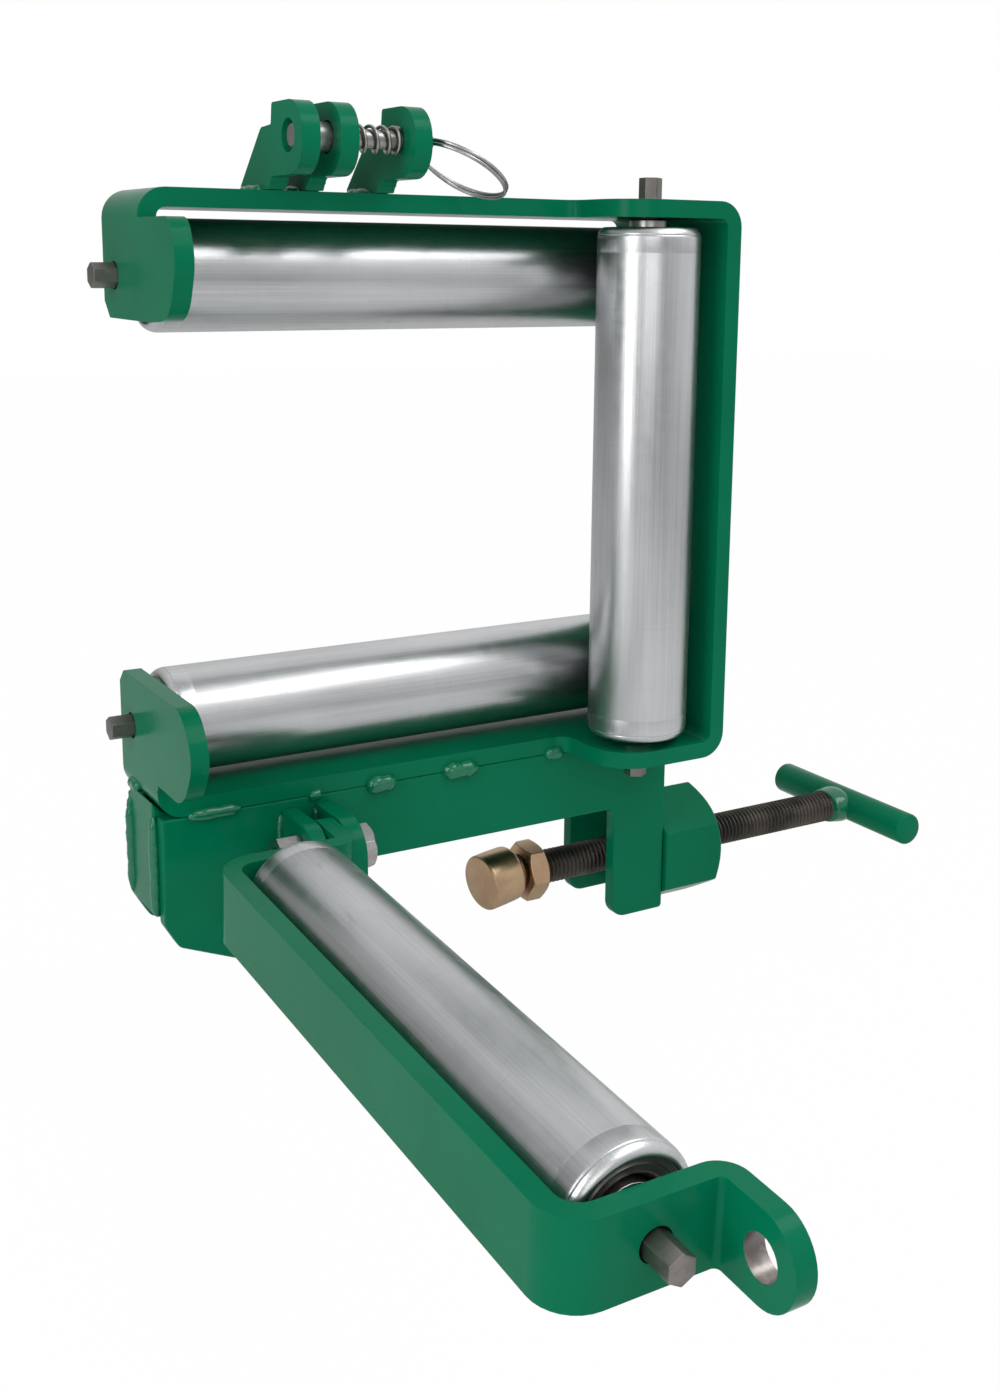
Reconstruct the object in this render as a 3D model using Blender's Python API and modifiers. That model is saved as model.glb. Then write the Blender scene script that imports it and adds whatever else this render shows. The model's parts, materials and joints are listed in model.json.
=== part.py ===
"""Four-roller cable guide with a hinged gate and a C-clamp foot.

X runs along the level rollers, minus Y faces the gate, Z is up.
Sizes below are millimetres; meshes are written in metres.
"""
import math

import bmesh
import bpy
from mathutils import Matrix, Vector

for leftover in list(bpy.data.objects):
    bpy.data.objects.remove(leftover, do_unlink=True)

# ---- driving sizes -------------------------------------------------------
FIT = 0.3                 # clearance between pieces that touch

BAR = 7.94                # thickness of every bar and plate
BAR_FRONT = -33.5         # front edge of the narrow strap, from the roller plane
BAR_REAR = 15.2           # rear edge of the strap
LOBE_REACH = 20.95        # the wide right-hand end, forward of the vertical roller's axis
BEND = 8.0                # centreline radius of the strap bends
WINDOW_WIDE = 257.26      # inside the frame, left to right
ROLLER_RISE = 196.9       # lower to upper roller axis
GAP_BELOW = 2.37          # lower roller to the bottom strap
GAP_ABOVE = 3.67          # upper roller to the top strap
GAP_WALL = 5.57           # vertical roller to the right-hand strap
GAP_CROSS = 7.09          # level rollers to the vertical and gate rollers

ROLLER_D = 48.26          # roller tube, outside
ROLLER_WALL = 2.1
ROLLER_LIP = 1.6          # rolled-in rim at each tube end
HUB_REACH = 4.3           # hub length outside the tube end
HEX_AXLE = 9.53          # across the flats
AXLE_PLAY = 0.9           # hole over the axle's corners
AXLE_STAND = 10.2         # axle length outside the frame

BEAM_DEEP = 36.1          # clamp beam, top to bottom edge
LEG_WIDE = 31.5           # clamp leg beside the boss
LEG_DOWN = 95.9           # strap underside to the leg's lower end
JAW_X = 44.0              # fixed jaw face
SCREW_DOWN = 70.3         # strap underside to the screw axis
SCREW_D = 17.5
SCREW_NECK = 7.7          # the neck inside the pad is thinner by this much
BOSS_HEX = 54.0
BOSS_LONG = 37.3
PAD_BACK = 65.7           # swivel pad face to the clamp leg, as drawn
PAD_D = 28.6
PAD_LONG = 21.4
PAD_BALL = 12.0            # pad face to the centre of the ball it swivels on
PAD_NOD = 5.3             # degrees the pad hangs down on its ball
PAD_YAW = 7.8             # degrees it leans to the front
PAD_TO_NUT = 2.3
JAM_HEX = 27.0
JAM_LONG = 10.4
TEE_OUT = 110.0           # boss to the T-handle's axis
TEE_D = 17.5
TEE_LONG = 106.0
TEE_SHIFT = -0.65         # the bar's middle, off the screw's axis

HINGE_DOWN = 20.1         # strap underside to the hinge axis
HINGE_D = 12.7
LATCH_UP = 20.9           # strap top to the latch axis
LATCH_D = 12.0
LATCH_ROD_D = 8.0
EAR_LEFT = 56.3           # left face of the first ear and lug
TAB_PLAY = 0.56           # gate tab to the ear on each side
SPRING_ROOM = 25.26       # second ear to the third
TAB_SLACK = 2.3           # tab holes over the hinge bolt
TAB_BEND = 6.2            # centreline radius where a tab leaves the gate's end
GATE_WIDE = 31.0
GATE_PLAY = 0.6           # frame flanges to the gate's long side
GATE_GAP = 1.39           # gate's long side to its roller
GATE_DROOP = 3.0          # degrees below level when the gate rests open
SPRING_WIRE = 1.6
SPRING_COILS = 4.6
RING_R = 21.2
RING_WIRE = 2.6

# ---- sizes that follow ---------------------------------------------------
PIVOT_Y = -ROLLER_D - GAP_CROSS               # plane of the vertical roller, hinge and latch
LOBE_FRONT = PIVOT_Y - LOBE_REACH
FLOOR = -ROLLER_D / 2 - GAP_BELOW             # top face of the bottom strap
UNDER = FLOOR - BAR                           # its underside
CEILING = ROLLER_RISE + ROLLER_D / 2 + GAP_ABOVE      # lower face of the top strap
TOP = CEILING + BAR
WALL = BAR + WINDOW_WIDE                      # inner face of the right-hand strap
OUTER = WALL + BAR
UPRIGHT_X = WALL - ROLLER_D / 2 - GAP_WALL    # vertical roller axis
AXLE_HOLE = HEX_AXLE * 2 / math.sqrt(3) + AXLE_PLAY
SCREW_Y = (BAR_FRONT + BAR_REAR) / 2
SCREW_Z = UNDER - SCREW_DOWN
HINGE_Z = UNDER - HINGE_DOWN
LATCH_Z = TOP + LATCH_UP
LEG_X = WALL + 5.2                            # outer edge of the clamp leg
PAD_X = LEG_X - LEG_WIDE - PAD_BACK
TEE_X = LEG_X + FIT + BOSS_LONG + TEE_OUT
SCREW_TIP_D = SCREW_D - SCREW_NECK
TAB_X = EAR_LEFT + BAR + TAB_PLAY             # left face of the gate's tabs
EAR_RIGHT = TAB_X + BAR + TAB_PLAY
EAR_X = (EAR_LEFT, EAR_RIGHT, EAR_RIGHT + BAR + SPRING_ROOM)
TAB_HOLE = HINGE_D + TAB_SLACK
GATE_X = BAR + GATE_PLAY                      # left face of the gate's long side
GATE_ROLLER_X = GATE_X + BAR + GATE_GAP + ROLLER_D / 2
GATE_LOW = UNDER - 1.47                       # gate end faces, gate closed
GATE_HIGH = TOP + 2.3
DATUM = Vector((JAW_X, SCREW_Y, SCREW_Z))

GREEN = (0.004, 0.16, 0.095)
ZINC = (0.56, 0.57, 0.57)
STEEL = (0.22, 0.21, 0.20)
DARK = (0.05, 0.05, 0.055)
YELLOW = (0.45, 0.36, 0.16)
BARE = (0.35, 0.33, 0.30)

model = bpy.data.collections.new("cable_guide")
cutters = bpy.data.collections.new("cutters")
for collection in (model, cutters):
    bpy.context.scene.collection.children.link(collection)


# ---- modelling helpers ---------------------------------------------------
def finish(name, bm, origin, look):
    """Close a mesh, put its origin where asked and give it a material."""
    bmesh.ops.remove_doubles(bm, verts=bm.verts, dist=0.0005)
    bmesh.ops.recalc_face_normals(bm, faces=bm.faces)
    origin = Vector(origin)
    for vertex in bm.verts:
        vertex.co = (vertex.co - origin) * 0.001
    mesh = bpy.data.meshes.new(name)
    bm.to_mesh(mesh)
    bm.free()
    mesh.shade_smooth()
    mesh.set_sharp_from_angle(angle=math.radians(35))
    piece = bpy.data.objects.new(name, mesh)
    piece.location = (origin - DATUM) * 0.001
    if look is None:
        cutters.objects.link(piece)
        piece.hide_render = True
        piece.display_type = "WIRE"
        return piece
    model.objects.link(piece)
    material = bpy.data.materials.new(name)
    material.use_nodes = True
    shader = material.node_tree.nodes["Principled BSDF"]
    shader.inputs["Base Color"].default_value = (*look[0], 1)
    shader.inputs["Metallic"].default_value = look[1]
    shader.inputs["Roughness"].default_value = look[2]
    mesh.materials.append(material)
    return piece


def along(axis, a, b, c):
    """Turn plan coordinates and a length into a point, for an axis letter."""
    return {"X": (c, a, b), "Y": (a, c, b), "Z": (a, b, c)}[axis]


def prism(name, axis, low, high, loops, look=None, origin=None):
    """Push flat outlines (y,z for X; x,z for Y; x,y for Z) through a depth."""
    curve = bpy.data.curves.new(name, "CURVE")
    curve.dimensions = "2D"
    curve.fill_mode = "BOTH"
    curve.extrude = (high - low) / 2
    for loop in loops:
        spline = curve.splines.new("POLY")
        spline.points.add(len(loop) - 1)
        for point, (a, b) in zip(spline.points, loop):
            point.co = (a, b, 0, 1)
        spline.use_cyclic_u = True
    carrier = bpy.data.objects.new(name, curve)
    flat = bpy.data.meshes.new_from_object(carrier)
    bm = bmesh.new()
    bm.from_mesh(flat)
    middle = (high + low) / 2
    for vertex in bm.verts:
        vertex.co = along(axis, vertex.co.x, vertex.co.y, middle + vertex.co.z)
    bpy.data.objects.remove(carrier)
    bpy.data.curves.remove(curve)
    bpy.data.meshes.remove(flat)
    return finish(name, bm, origin or DATUM, look)


def turned(name, axis, centre, profile, look=None, steps=24, origin=None):
    """Turn a (radius, length) profile about an axis through centre."""
    wire = bpy.data.meshes.new(name)
    pairs = [(i, i + 1) for i in range(len(profile) - 1)]
    if min(radius for radius, _ in profile) > 0:
        pairs.append((len(profile) - 1, 0))
    wire.from_pydata([(radius, 0, length) for radius, length in profile], pairs, [])
    carrier = bpy.data.objects.new(name, wire)
    model.objects.link(carrier)
    screw = carrier.modifiers.new("Turn", "SCREW")
    screw.steps = screw.render_steps = steps
    screw.use_merge_vertices = True
    screw.merge_threshold = 0.0001
    bpy.context.view_layer.update()
    depsgraph = bpy.context.evaluated_depsgraph_get()
    solid = bpy.data.meshes.new_from_object(carrier.evaluated_get(depsgraph))
    bm = bmesh.new()
    bm.from_mesh(solid)
    for vertex in bm.verts:
        x, y, z = along(axis, vertex.co.x, vertex.co.y, vertex.co.z)
        vertex.co = Vector((x, y, z)) + Vector(centre)
    bpy.data.objects.remove(carrier)
    return finish(name, bm, origin or DATUM, look)


def rod(name, axis, centre, diameter, low, high, look=None, steps=24, origin=None, edge=0.0):
    """A solid round bar, with chamfered ends if an edge size is given."""
    radius = diameter / 2
    profile = [(0, low), (radius, low), (radius, high), (0, high)]
    if edge:
        profile[1:3] = [(radius - edge, low), (radius, low + edge), (radius, high - edge),
                        (radius - edge, high)]
    return turned(name, axis, centre, profile, look, steps, origin)


def take_away(piece, *tools, operation="DIFFERENCE"):
    for tool in tools:
        step = piece.modifiers.new(tool.name, "BOOLEAN")
        step.solver = "EXACT"
        step.operation = operation
        step.object = tool
    return piece


def circle(a, b, radius, steps=24, start=0.0):
    turn = math.tau / steps
    return [(a + radius * math.cos(start + i * turn), b + radius * math.sin(start + i * turn))
            for i in range(steps)]


def hexagon(a, b, flats, start=0.0):
    return circle(a, b, flats / math.sqrt(3), 6, start)


def rounded(corners, steps=7):
    """Outline through (a, b, radius) corners, each rounded by its radius."""
    outline = []
    for i, (a, b, radius) in enumerate(corners):
        here = Vector((a, b))
        back = Vector(corners[i - 1][:2]) - here
        on = Vector(corners[(i + 1) % len(corners)][:2]) - here
        if radius <= 0:
            outline.append((a, b))
            continue
        back.normalize()
        on.normalize()
        half = back.angle(on) / 2
        centre = here + (back + on).normalized() * (radius / math.sin(half))
        first = here + back * (radius / math.tan(half)) - centre
        last = here + on * (radius / math.tan(half)) - centre
        sweep = math.atan2(first.x * last.y - first.y * last.x, first.dot(last))
        for step in range(steps + 1):
            turn = Matrix.Rotation(sweep * step / steps, 2)
            outline.append(tuple(centre + turn @ first))
    return outline


def ribbon(corners, thick, steps=8):
    """Outline of a bent bar from its centreline (a, b, bend radius) corners."""
    points = [Vector(corner[:2]) for corner in corners]
    left, right = [], []

    def both(point, normal):
        left.append(tuple(point + normal * (thick / 2)))
        right.append(tuple(point - normal * (thick / 2)))

    for i, (here, corner) in enumerate(zip(points, corners)):
        if i in (0, len(points) - 1):
            run = (points[1] - here) if i == 0 else (here - points[i - 1])
            both(here, Vector((-run.y, run.x)).normalized())
            continue
        back = (points[i - 1] - here).normalized()
        on = (points[i + 1] - here).normalized()
        half = back.angle(on) / 2
        centre = here + (back + on).normalized() * (corner[2] / math.sin(half))
        first = here + back * (corner[2] / math.tan(half)) - centre
        last = here + on * (corner[2] / math.tan(half)) - centre
        sweep = math.atan2(first.x * last.y - first.y * last.x, first.dot(last))
        for step in range(steps + 1):
            spoke = Matrix.Rotation(sweep * step / steps, 2) @ first
            side = -spoke.normalized() if sweep > 0 else spoke.normalized()
            both(centre + spoke, side)
    return left + right[::-1]


PAINT = (GREEN, 0.0, 0.3)

# ---- frame: one bent strap, open at the left -------------------------------
middle_x, middle_low, middle_high = WALL + BAR / 2, FLOOR - BAR / 2, CEILING + BAR / 2
upper_end, lower_end = ROLLER_RISE - 17.9, 23.3
strap = prism("main_strap", "Y", PIVOT_Y - 33, BAR_REAR, [ribbon([
    (BAR / 2, upper_end, 0), (BAR / 2, middle_high, BEND), (middle_x, middle_high, BEND),
    (middle_x, middle_low, BEND), (BAR / 2, middle_low, BEND), (BAR / 2, lower_end, 0)], BAR)], PAINT)

upper_flange = rounded([
    (BAR_REAR + 9, TOP + 20, 0), (BAR_REAR + 9, upper_end + 8, 0), (BAR_REAR, upper_end + 7, 3),
    (BAR_REAR - 7, upper_end - 0.01, 2), (PIVOT_Y + 10, upper_end - 0.01, 0),
    (PIVOT_Y - 14, upper_end + 1.6, 16),
    (PIVOT_Y - 23.4, upper_end + 24, 17), (PIVOT_Y - 17.2, CEILING - 4.4, 9),
    (BAR_FRONT - 1, CEILING - 4.4, 0),
    (BAR_FRONT - 1, TOP + 20, 0)])
lower_flange = rounded([
    (BAR_REAR + 9, UNDER - 20, 0), (BAR_FRONT - 1, UNDER - 20, 0), (BAR_FRONT - 1, FLOOR + 8.5, 0),
    (PIVOT_Y - 11.4, FLOOR + 8.5, 18), (PIVOT_Y - 25.8, 4.4, 15),
    (PIVOT_Y - 12.5, lower_end, 17), (0, lower_end + 0.01, 0),
    (BAR_REAR - 6, lower_end + 0.01, 2), (BAR_REAR, lower_end - 6, 3),
    (BAR_REAR + 9, lower_end - 7, 0)])
trims = [
    prism("upper_flange_trim", "X", -3, BAR + FIT,
          [[(PIVOT_Y - 45, 110), (40, 110), (40, TOP + 30), (PIVOT_Y - 45, TOP + 30)], upper_flange]),
    prism("lower_flange_trim", "X", -3, BAR + FIT,
          [[(PIVOT_Y - 45, 90), (PIVOT_Y - 45, UNDER - 30), (40, UNDER - 30), (40, 90)], lower_flange])]
lobe_plan = rounded([
    (-9, PIVOT_Y - 45, 0), (OUTER + 9, PIVOT_Y - 45, 0), (OUTER + 9, LOBE_FRONT, 0),
    (UPRIGHT_X - 27, LOBE_FRONT, 22), (UPRIGHT_X - 27, BAR_FRONT, 7), (-9, BAR_FRONT, 0)])
trims.append(prism("top_strap_trim", "Z", CEILING - 4.3, TOP + 9, [lobe_plan]))
trims.append(prism("bottom_strap_trim", "Z", UNDER - 9, FLOOR + 6.5, [lobe_plan]))
trims.append(prism("wall_trim", "Y", PIVOT_Y - 45, LOBE_FRONT, [
    [(WALL - 30, UNDER - 9), (OUTER + 9, UNDER - 9), (OUTER + 9, TOP + 9), (WALL - 30, TOP + 9)]]))
for label, height in (("lower", 0), ("upper", ROLLER_RISE)):
    trims.append(rod(label + "_axle_bore", "X", (0, 0, height), AXLE_HOLE, -5, OUTER + 5))
trims.append(rod("upright_axle_bore", "Z", (UPRIGHT_X, PIVOT_Y, 0), AXLE_HOLE, UNDER - 5, TOP + 5))
take_away(strap, *trims)

# ---- C-clamp under the frame ----------------------------------------------
beam_top, beam_low = UNDER - FIT, UNDER - BEAM_DEEP
plate_outline = rounded([
    (1.5, beam_top, 0), (LEG_X, beam_top, 0), (LEG_X, UNDER - LEG_DOWN, 2),
    (LEG_X - LEG_WIDE, UNDER - LEG_DOWN, 8), (LEG_X - LEG_WIDE, beam_low, 5),
    (JAW_X - 6, beam_low, 5), (JAW_X - 6, SCREW_Z - 2.7, 2), (8, SCREW_Z + 9.9, 5),
    (1.5, SCREW_Z + 21, 5)])
prism("clamp_plate_front", "Y", BAR_FRONT, BAR_FRONT + BAR, [plate_outline], PAINT)
prism("clamp_plate_rear", "Y", BAR_REAR - BAR, BAR_REAR, [plate_outline], PAINT)
inside_front, inside_rear = BAR_FRONT + BAR + FIT, BAR_REAR - BAR - FIT
prism("jaw_end_cap", "Y", inside_front, inside_rear, [[
    (0, UNDER - 47.6), (BAR, UNDER - 47.6), (BAR, UNDER - 0.9), (4.5, UNDER + 1.1),
    (2.2, UNDER + 3.6), (0, UNDER + 5.6)]], PAINT)
prism("jaw_face", "X", JAW_X - 6 + FIT, JAW_X, [rounded([
    (BAR_FRONT, SCREW_Z - 6, 2), (BAR_REAR, SCREW_Z - 6, 2),
    (BAR_REAR, beam_low - 5.5, 2), (BAR_FRONT, beam_low - 5.5, 2)], 3)], PAINT)

boss_in = LEG_X + FIT
boss_out = boss_in + BOSS_LONG
boss = prism("screw_boss", "X", boss_in, boss_out,
             [hexagon(SCREW_Y, SCREW_Z, BOSS_HEX, math.pi / 2)], PAINT)
corner = BOSS_HEX / math.sqrt(3)
boss_turn = turned("boss_turning", "X", (0, SCREW_Y, SCREW_Z), [
    (0, boss_in - 2), (corner + 2, boss_in - 2), (corner + 2, boss_out - 5.2),
    (BOSS_HEX / 2 - 1.5, boss_out + 0.02), (0, boss_out + 0.02)], steps=36)
take_away(boss, boss_turn, operation="INTERSECT")
take_away(boss, rod("boss_bore", "X", (0, SCREW_Y, SCREW_Z), SCREW_D + 2 * FIT, boss_in - 9,
                    boss_out + 9))

# ---- clamp screw, swivel pad and T-handle ----------------------------------
pad_back = PAD_X + PAD_LONG
ball_x = PAD_X + PAD_BALL
screw_at = (ball_x, SCREW_Y, SCREW_Z)
neck = SCREW_TIP_D / 2
ball = neck + 2.3
pad = turned("clamp_pad", "X", (0, SCREW_Y, SCREW_Z), [
    (0, PAD_X), (PAD_D / 2 - 0.6, PAD_X), (PAD_D / 2, PAD_X + 0.6), (PAD_D / 2 - 0.3, PAD_X + 18),
    (PAD_D / 2 - 1.3, PAD_X + 19.1), (11, PAD_X + 19.4), (10.8, pad_back - 0.4), (10.4, pad_back),
    (ball + FIT, pad_back), (ball + 0.5, pad_back - 1.5), (ball + 0.5, ball_x - ball - 0.5),
    (0, ball_x - ball - 0.5)], (YELLOW, 1.0, 0.35), 32, screw_at)
pad.rotation_euler = (0, -math.radians(PAD_NOD), math.radians(PAD_YAW))
jam_in = pad_back + PAD_TO_NUT
jam_out = jam_in + JAM_LONG
bar_side = TEE_X - TEE_D / 2 - FIT
tip_angle = math.pi - math.asin(neck / ball)
tip = [(ball * math.sin(tip_angle * i / 10), ball_x - ball * math.cos(tip_angle * i / 10))
       for i in range(11)]
turned("clamp_screw", "X", (0, SCREW_Y, SCREW_Z), tip + [
    (neck, jam_in - 0.3), (SCREW_D / 2 - 1, jam_in - 0.3), (SCREW_D / 2, jam_in + 0.7),
    (SCREW_D / 2, bar_side - 1.5), (SCREW_D / 2 - 1.5, bar_side), (0, bar_side)],
    (DARK, 1.0, 0.4), 32, screw_at)
jam = prism("jam_nut", "X", jam_in, jam_out, [
    hexagon(SCREW_Y, SCREW_Z, JAM_HEX, math.radians(67)),
    circle(SCREW_Y, SCREW_Z, SCREW_D / 2 + FIT)], (YELLOW, 1.0, 0.35), screw_at)
jam_corner = JAM_HEX / math.sqrt(3)
jam_turn = turned("jam_turning", "X", (0, SCREW_Y, SCREW_Z), [
    (0, jam_in - 0.02), (JAM_HEX / 2 - 0.3, jam_in - 0.02), (jam_corner + 0.3, jam_in + 1.6),
    (jam_corner + 0.3, jam_out - 1.6), (JAM_HEX / 2 - 0.3, jam_out + 0.02), (0, jam_out + 0.02)],
    steps=36)
take_away(jam, jam_turn, operation="INTERSECT")
rod("t_handle", "Y", (TEE_X, SCREW_Y + TEE_SHIFT, SCREW_Z), TEE_D, -TEE_LONG / 2, TEE_LONG / 2, PAINT, 24,
    screw_at, 1.2)

# ---- hinge: two lugs, a bolt and its nut ------------------------------------
droop = math.radians(GATE_DROOP)
lug_low, lug_top = UNDER - BEAM_DEEP, UNDER - 4.1
reach = HINGE_Z - lug_low
inner = TAB_BEND - BAR / 2
dip = inner - math.sqrt(inner ** 2 - max(inner - (TAB_X - EAR_X[0] - BAR), 0) ** 2)
rest = GATE_LOW - HINGE_Z - dip - FIT
stop_y = PIVOT_Y - (rest - reach * math.sin(droop)) / math.cos(droop)
lug_outline = rounded([
    (BAR_FRONT - FIT, lug_low, 0), (BAR_FRONT - FIT, lug_top, 0), (stop_y, lug_top, 15.6),
    (stop_y, lug_low, 0)])
for label, left in (("left", EAR_X[0]), ("right", EAR_X[1])):
    prism("hinge_lug_" + label, "X", left, left + BAR,
          [lug_outline, circle(PIVOT_Y, HINGE_Z, HINGE_D / 2 + FIT)], PAINT)
head_in = EAR_X[1] + BAR + FIT
hinge_at = (TAB_X + BAR / 2, PIVOT_Y, HINGE_Z)
bolt = turned("hinge_bolt", "X", (0, PIVOT_Y, HINGE_Z), [
    (0, 35.4), (HINGE_D / 2 - 1.1, 35.4), (HINGE_D / 2, 36.5), (HINGE_D / 2, head_in), (10.9, head_in),
    (10.9, head_in + 6.6), (9.3, head_in + 8), (0, head_in + 8)], (ZINC, 1.0, 0.35))
hex_shell = prism("bolt_head_hex", "X", head_in - 1, head_in + 20, [
    circle(PIVOT_Y, HINGE_Z, 30), hexagon(PIVOT_Y, HINGE_Z, 19.0, math.pi / 2)])
take_away(bolt, hex_shell)
prism("hinge_nut", "X", EAR_X[0] - FIT - 10.9, EAR_X[0] - FIT, [
    hexagon(PIVOT_Y, HINGE_Z, 19.0, math.pi / 2), circle(PIVOT_Y, HINGE_Z, HINGE_D / 2 + FIT)],
    (ZINC, 1.0, 0.35))

# ---- latch ears, spring pin and pull ring -----------------------------------
ear_nose = 14.6
ear_top = LATCH_Z + 13.9
for number, left in enumerate(EAR_X, 1):
    foot = TOP + FIT
    outline = rounded([
        (0, foot, 1.5), (-25.4, TOP + 24.7, 0), (-27, TOP + 25.6, 1), (-37.4, TOP + 26.2, 1),
        (-38.5, ear_top, 1.5), (PIVOT_Y - ear_nose, ear_top, 13.5),
        (PIVOT_Y - ear_nose, LATCH_Z - ear_nose - 0.9, 13.5), (-36, LATCH_Z - ear_nose - 0.9, 2.5),
        (-36, TOP + 4, 2), (BAR_FRONT, foot, 0)])
    bore = LATCH_D + 1.5 if number < 3 else LATCH_ROD_D + 2 * FIT
    prism("latch_ear_%d" % number, "X", left, left + BAR,
          [outline, circle(PIVOT_Y, LATCH_Z, bore / 2)], PAINT)
pin_end = EAR_X[0] + 1.2
step_x = EAR_X[1] + BAR + FIT
hole_x = EAR_X[2] + BAR + 2.9
latch_at = (pin_end, PIVOT_Y, LATCH_Z)
pin = turned("latch_pin", "X", (0, PIVOT_Y, LATCH_Z), [
    (0, pin_end), (LATCH_D / 2 - 1.5, pin_end), (LATCH_D / 2, pin_end + 1.5), (LATCH_D / 2, step_x),
    (LATCH_ROD_D / 2, step_x), (LATCH_ROD_D / 2, hole_x + 2.9), (LATCH_ROD_D / 2 - 1, hole_x + 3.9),
    (0, hole_x + 3.9)], (ZINC, 1.0, 0.2), 24, latch_at)
take_away(pin, rod("ring_hole", "Y", (hole_x, 0, LATCH_Z), RING_WIRE + 2.2, PIVOT_Y - 9, PIVOT_Y + 9,
                   steps=24))


def coil(name, start, end, turns, radius, wire, look):
    """A compression spring with closed ends, as a swept line."""
    curve = bpy.data.curves.new(name, "CURVE")
    curve.dimensions = "3D"
    curve.bevel_depth = wire / 2
    curve.bevel_resolution = 2
    curve.use_fill_caps = True
    spline = curve.splines.new("POLY")
    count = int(turns * 13)
    closed = 0.55 / turns
    rise = end - start - 2.05 * wire
    points = []
    for i in range(count + 1):
        share = i / count
        climb = min(max((share - closed) / (1 - 2 * closed), 0), 1)
        lead = min(share / closed, 1) * 0.5 * wire + max((share - 1 + closed) / closed, 0) * 0.5 * wire
        turn = math.tau * turns * share
        points.append((start + wire * 0.52 + lead + climb * rise, PIVOT_Y + radius * math.sin(turn),
                       LATCH_Z - radius * math.cos(turn)))
    spline.points.add(count)
    for point, place in zip(spline.points, points):
        point.co = (*place, 1)
    carrier = bpy.data.objects.new(name, curve)
    swept = bpy.data.meshes.new_from_object(carrier)
    bm = bmesh.new()
    bm.from_mesh(swept)
    bpy.data.objects.remove(carrier)
    return finish(name, bm, latch_at, look)


coil("latch_spring", step_x + FIT, EAR_X[2] - FIT, SPRING_COILS, LATCH_ROD_D / 2 + 0.45 + SPRING_WIRE / 2,
     SPRING_WIRE, (ZINC, 1.0, 0.3))

bpy.ops.mesh.primitive_torus_add(major_radius=RING_R * 0.001, minor_radius=RING_WIRE * 0.0005,
                                 major_segments=40, minor_segments=8)
ring = bpy.context.object
ring_bm = bmesh.new()
ring_bm.from_mesh(ring.data)
bpy.data.objects.remove(ring, do_unlink=True)
ring_at = Vector((hole_x, PIVOT_Y, LATCH_Z))
hang = Matrix.Rotation(math.radians(30), 4, "Y") @ Matrix.Rotation(math.radians(-4), 4, "X")
for vertex in ring_bm.verts:
    vertex.co = ring_at + hang @ (vertex.co * 1000 + Vector((RING_R, 0, 0)))
finish("pull_ring", ring_bm, ring_at, (ZINC, 1.0, 0.2))

# ---- hinged gate: bent strap, drawn closed and then swung open ---------------
gate_end = LATCH_Z + GATE_WIDE / 2
side = GATE_X + BAR / 2
tab = TAB_X + BAR / 2
gate = prism("gate_strap", "Y", PIVOT_Y - GATE_WIDE / 2, PIVOT_Y + GATE_WIDE / 2, [ribbon([
    (tab, HINGE_Z - GATE_WIDE / 2, 0), (tab, GATE_LOW + BAR / 2, TAB_BEND),
    (side, GATE_LOW + BAR / 2, 12), (side, GATE_HIGH - BAR / 2, 12),
    (tab, GATE_HIGH - BAR / 2, TAB_BEND), (tab, gate_end, 0)], BAR)], PAINT, hinge_at)
gate_tools = []
for label, height, out in (("hinge", HINGE_Z, -1), ("latch", LATCH_Z, 1)):
    radius = GATE_WIDE / 2
    arch = [(PIVOT_Y + radius * math.cos(math.pi * i / 20),
             height + out * radius * math.sin(math.pi * i / 20)) for i in range(21)]
    far = height + out * (radius + 5)
    shoulder = [(PIVOT_Y - radius - 5, height), (PIVOT_Y - radius - 5, far),
                (PIVOT_Y + radius + 5, far), (PIVOT_Y + radius + 5, height)]
    gate_tools.append(prism(label + "_tab_trim", "X", TAB_X - 5, TAB_X + BAR + 5,
                            [arch + shoulder]))
    gate_tools.append(rod(label + "_tab_bore", "X", (0, PIVOT_Y, height), TAB_HOLE,
                          TAB_X - 9, TAB_X + BAR + 9))
gate_tools.append(rod("gate_axle_bore", "Z", (GATE_ROLLER_X, PIVOT_Y, 0), AXLE_HOLE,
                      GATE_LOW - 9, GATE_HIGH + 9))
take_away(gate, *gate_tools)


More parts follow.
